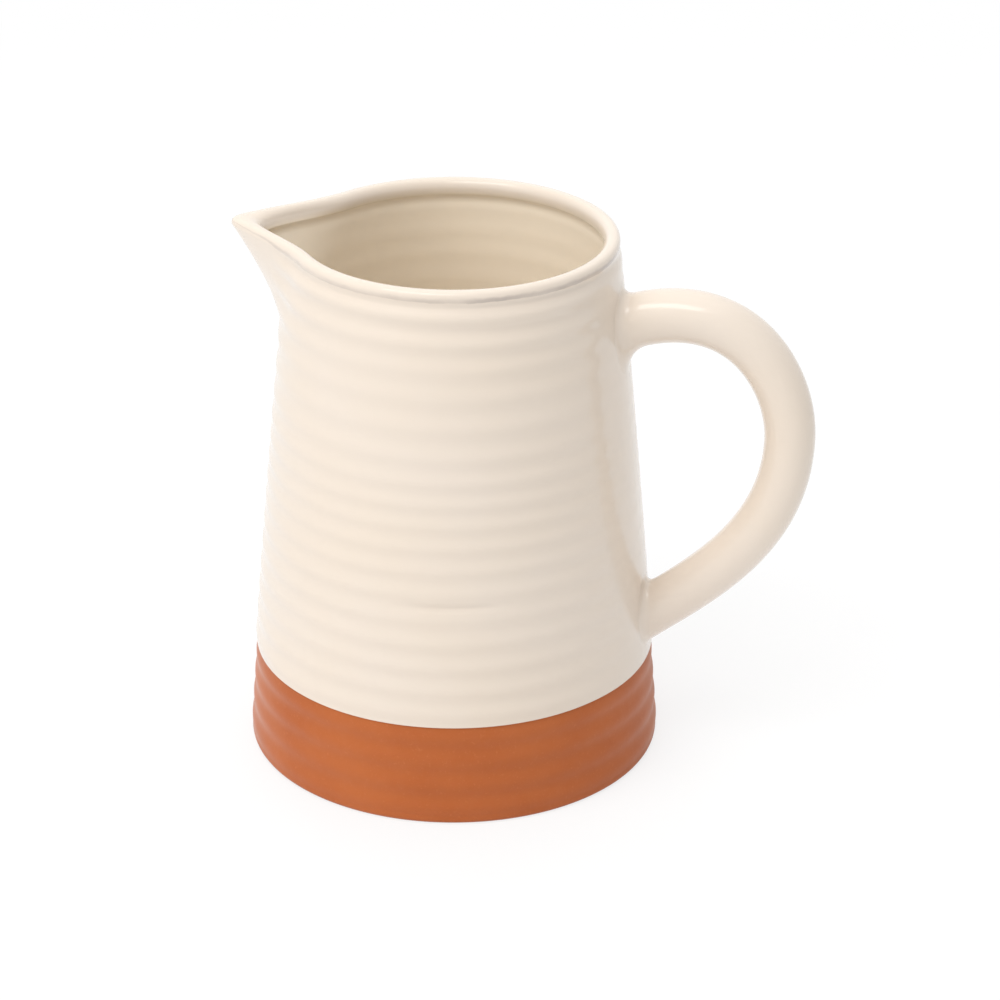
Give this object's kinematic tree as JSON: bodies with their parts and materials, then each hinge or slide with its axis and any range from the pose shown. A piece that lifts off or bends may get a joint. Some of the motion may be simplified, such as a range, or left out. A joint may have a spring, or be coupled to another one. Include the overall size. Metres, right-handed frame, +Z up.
{
  "type": "stoneware jug",
  "caption": "Thrown stoneware jug with tapered ringed wall, drawn spout, round loop handle, cream glaze and a bare terracotta band at the foot.",
  "frame": {"origin": "on the jug's axis, in the plane of the ring that it stands on", "axes": "+Z up along the jug's axis, +X towards the handle, -X towards the spout, +Y across the jug"},
  "size_m": [0.1828, 0.1316, 0.17],
  "materials": {
    "red_clay": "matte fired clay",
    "cream_glaze": "satin gloss",
    "lining_glaze": "satin gloss"
  },
  "bodies": {
    "root": {"clay_body": "red_clay", "spout": "red_clay", "handle": "red_clay", "upper_luting": "red_clay", "lower_luting": "red_clay", "outer_glaze": "cream_glaze", "spout_glaze": "cream_glaze", "handle_glaze": "cream_glaze", "lining_glaze": "lining_glaze"}
  },
  "joints": []
}
